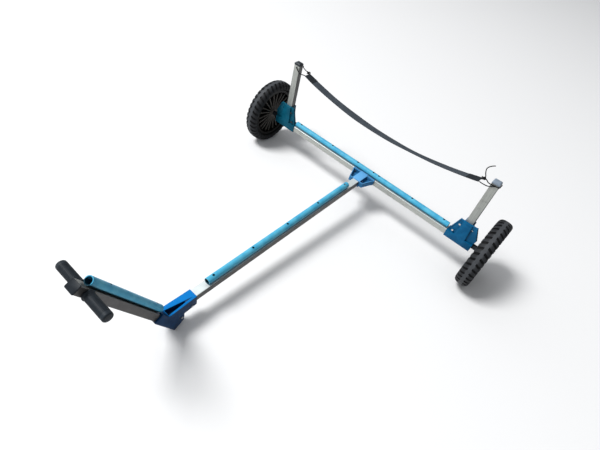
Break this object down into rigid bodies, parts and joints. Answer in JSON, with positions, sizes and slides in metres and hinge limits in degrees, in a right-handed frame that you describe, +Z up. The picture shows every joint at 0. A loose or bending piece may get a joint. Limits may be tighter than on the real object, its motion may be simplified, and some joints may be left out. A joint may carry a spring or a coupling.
{
  "type": "beach cart",
  "caption": "Two-wheeled launching cart for a small boat: axle beam with uprights and a webbing cradle, and a drawbar that bends up to a T-handle.",
  "frame": {"origin": "on the floor, midway between the wheels and midway between the back of the wheels and the front of the handle's end cap", "axes": "+X to the right seen from the handle, +Y from the handle to the wheels, +Z up; the cart stands on its wheels and on the elbow's foot"},
  "size_m": [1.6252, 1.945, 0.645],
  "materials": {
    "tube": "satin extruded",
    "rail_pipe": "semi-gloss sky blue",
    "screw": "plain",
    "end_cap": "moulded black",
    "crossbar": "mill",
    "grip": "ribbed matte",
    "tee_bracket": "moulded blue",
    "elbow_bracket": "moulded blue",
    "corner_bracket": "moulded blue",
    "bolt": "plain",
    "upright_cap": "moulded dark grey",
    "axle_plug": "moulded",
    "stub_axle": "plain",
    "spacer": "moulded",
    "retaining_cap": "moulded",
    "tyre": "lugged",
    "rim": "moulded black",
    "bush": "moulded",
    "webbing": "woven slate grey",
    "cord": "braided black"
  },
  "bodies": {
    "frame": {"axle_beam": "tube", "axle_pipe": "rail_pipe", "axle_pipe_screws": "screw", "drawbar": "tube", "drawbar_pipe": "rail_pipe", "drawbar_pipe_screws": "screw", "handle_beam": "tube", "handle_pipe": "rail_pipe", "handle_pipe_screws": "screw", "handle_end_cap": "end_cap", "handle_crossbar": "crossbar", "grip_left": "grip", "grip_right": "grip", "tee_bracket": "tee_bracket", "tee_bolts": "bolt", "tee_nuts": "bolt", "elbow_bracket": "elbow_bracket", "elbow_bolts": "bolt", "elbow_nuts": "bolt", "corner_bracket_left": "corner_bracket", "corner_bracket_right": "corner_bracket", "corner_bolts_left": "bolt", "corner_bolts_right": "bolt", "corner_nuts_left": "bolt", "corner_nuts_right": "bolt", "upright_left": "tube", "upright_right": "tube", "upright_cap_left": "upright_cap", "upright_cap_right": "upright_cap", "axle_plug_left": "axle_plug", "axle_plug_right": "axle_plug", "stub_axle_left": "stub_axle", "stub_axle_right": "stub_axle", "axle_pins": "bolt", "hub_spacer_left": "spacer", "hub_spacer_right": "spacer", "outer_washer_left": "spacer", "outer_washer_right": "spacer", "retaining_cap_left": "retaining_cap", "retaining_cap_right": "retaining_cap", "cradle_strap": "webbing", "lashing_left": "cord", "lashing_right": "cord", "lashing_knots": "cord", "cord_tail": "cord"},
    "wheel_left": {"tyre_left": "tyre", "rim_left": "rim", "hub_bushes_left": "bush"},
    "wheel_right": {"tyre_right": "tyre", "rim_right": "rim", "hub_bushes_right": "bush"}
  },
  "joints": [
    {"name": "wheel_left_spin", "type": "hinge", "parent": "frame", "child": "wheel_left", "pos_m": [-0.773, 0.7725, 0.2], "axis": [1, 0, 0], "continuous": true},
    {"name": "wheel_right_spin", "type": "hinge", "parent": "frame", "child": "wheel_right", "pos_m": [0.773, 0.7725, 0.2], "axis": [1, 0, 0], "continuous": true}
  ]
}
